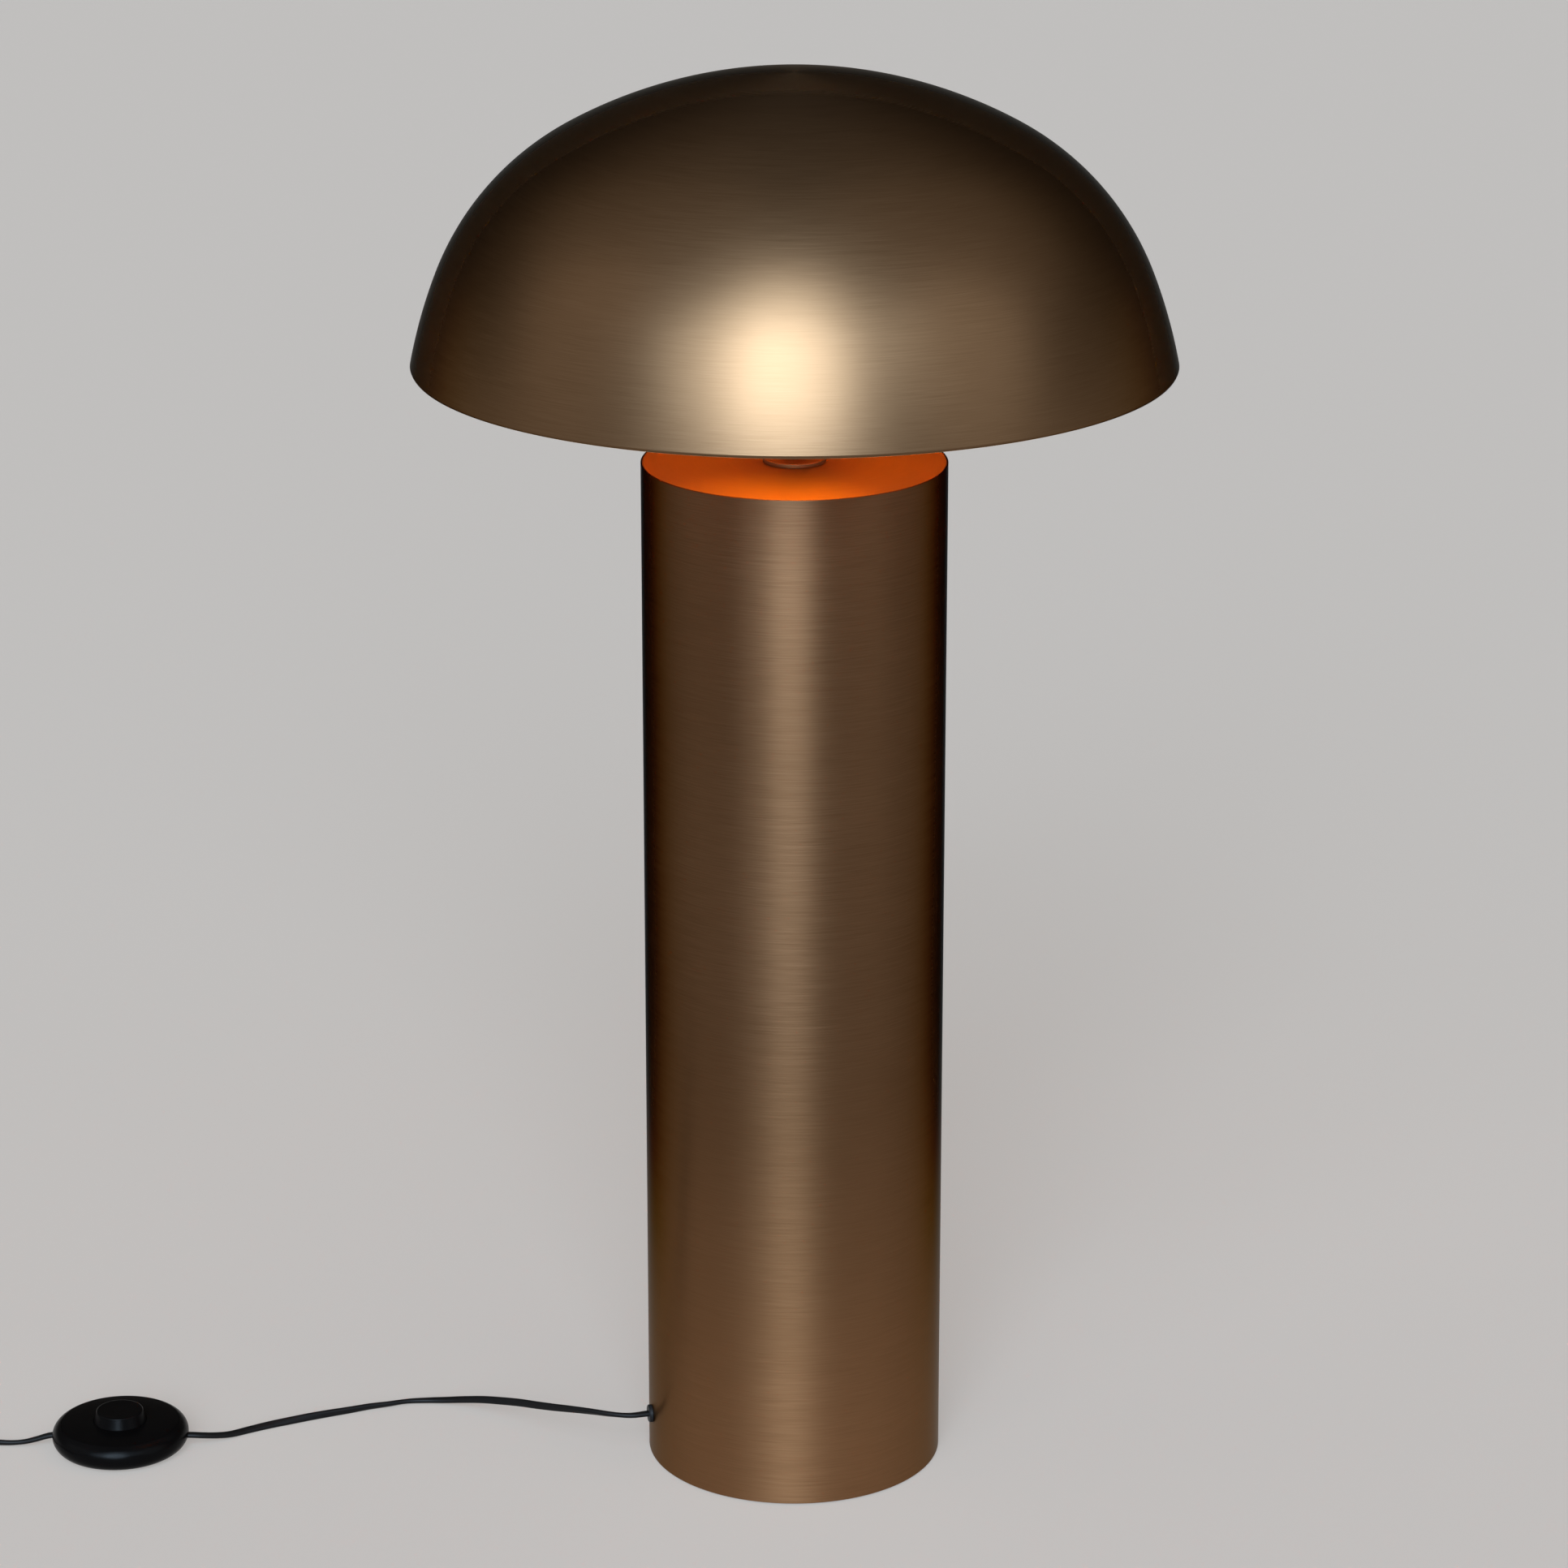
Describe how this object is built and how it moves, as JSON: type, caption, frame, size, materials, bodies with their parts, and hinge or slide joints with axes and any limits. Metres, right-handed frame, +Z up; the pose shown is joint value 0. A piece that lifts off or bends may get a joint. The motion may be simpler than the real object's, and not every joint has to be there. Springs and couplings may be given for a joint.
{
  "type": "mushroom floor lamp",
  "caption": "Mushroom-shaped floor lamp with a plain brass cylinder body, a spun dome shade on a short stem, and a round foot switch on a flat flex.",
  "frame": {"origin": "on the floor, on the axis of the body, at the centre of the lamp's footprint", "axes": "+Z up along the body's axis; the front is -Y; the flex leaves the body towards -X"},
  "size_m": [0.8986, 0.4952, 0.954],
  "materials": {
    "brass_body": "brushed antique brass, satin",
    "brass_shade": "spun and brushed antique brass, satin",
    "brass_parts": "plain turned brass",
    "contact_brass": "stamped brass, bright",
    "cast_iron": "cast, painted dark grey",
    "steel_parts": "zinc-plated steel",
    "spring_steel": "drawn spring wire",
    "foam_rubber": "soft cellular rubber, matt",
    "black_plastic": "black moulded thermoplastic",
    "switch_plastic": "black satin moulded plastic",
    "ivory_plastic": "ivory moulded plastic",
    "holder_ceramic": "white glazed steatite",
    "flex_black": "black PVC flat twin flex, satin",
    "wire_cores": "insulated single cores",
    "bulb_glass": "amber tinted clear glass",
    "bulb_metal": "rolled aluminium cap",
    "bulb_insulator": "black cap glass",
    "bulb_stem": "clear glass stem",
    "filament": "emissive coated filament"
  },
  "bodies": {
    "lamp": {"body_tube": "brass_body", "top_plate": "brass_body", "ballast": "cast_iron", "foot_ring": "foam_rubber", "tube_lugs": "steel_parts", "ballast_screws": "steel_parts", "cable_bush": "black_plastic", "cord_clip": "black_plastic", "clip_screw": "steel_parts", "inner_lead": "flex_black", "collar": "brass_body", "stem_tube": "brass_body", "nipple": "brass_parts", "plate_washer": "steel_parts", "spring_washer": "steel_parts", "nipple_nut": "brass_parts", "holder_cap": "black_plastic", "holder_body": "black_plastic", "holder_core": "holder_ceramic", "screw_shell": "contact_brass", "centre_contact": "contact_brass", "side_contact": "contact_brass", "terminal_screws": "steel_parts", "shade_ring": "black_plastic", "dome_shade": "brass_shade", "spider": "brass_parts", "switch_base": "switch_plastic", "switch_cover": "switch_plastic", "button_spring": "spring_steel", "mechanism_cup": "ivory_plastic", "fixed_contacts": "contact_brass", "switch_terminal_screws": "steel_parts", "switch_cores": "wire_cores", "cord_clamps": "ivory_plastic", "clamp_screws": "steel_parts", "cover_screws": "steel_parts", "switch_feet": "foam_rubber", "cord_lamp_run": "flex_black", "cord_plug_run": "flex_black", "cord_coil": "flex_black", "coil_tie": "black_plastic", "cord_end_run": "flex_black", "plug_body": "black_plastic", "plug_pins": "steel_parts", "pin_sleeves": "black_plastic"},
    "bulb": {"bulb_glass": "bulb_glass", "bulb_cap": "bulb_metal", "bulb_insulator": "bulb_insulator", "bulb_contact": "bulb_metal", "bulb_stem": "bulb_stem", "bulb_filaments": "filament"},
    "button": {"switch_button": "switch_plastic"},
    "rotor": {"ratchet_rotor": "ivory_plastic", "contact_wiper": "contact_brass"}
  },
  "joints": [
    {"name": "button_press", "type": "slide", "parent": "lamp", "child": "button", "axis": [0, 0, -1], "range_m": [0, 0.0035], "stiffness_N_per_m": 1500, "springref_m": -0.002, "deforming": ["button_spring"]},
    {"name": "rotor_turn", "type": "hinge", "parent": "lamp", "child": "rotor", "pos_m": [-0.465, -0.009, 0], "axis": [0, 0, 1], "range_deg": [0, 36]},
    {"name": "bulb_lift", "type": "slide", "parent": "lamp", "child": "bulb", "axis": [0, 0, 1], "range_m": [0, 0.04]}
  ],
  "couplings": [
    {"joint": "rotor_turn", "follows": "button_press", "rad_per_m": 174.53}
  ]
}
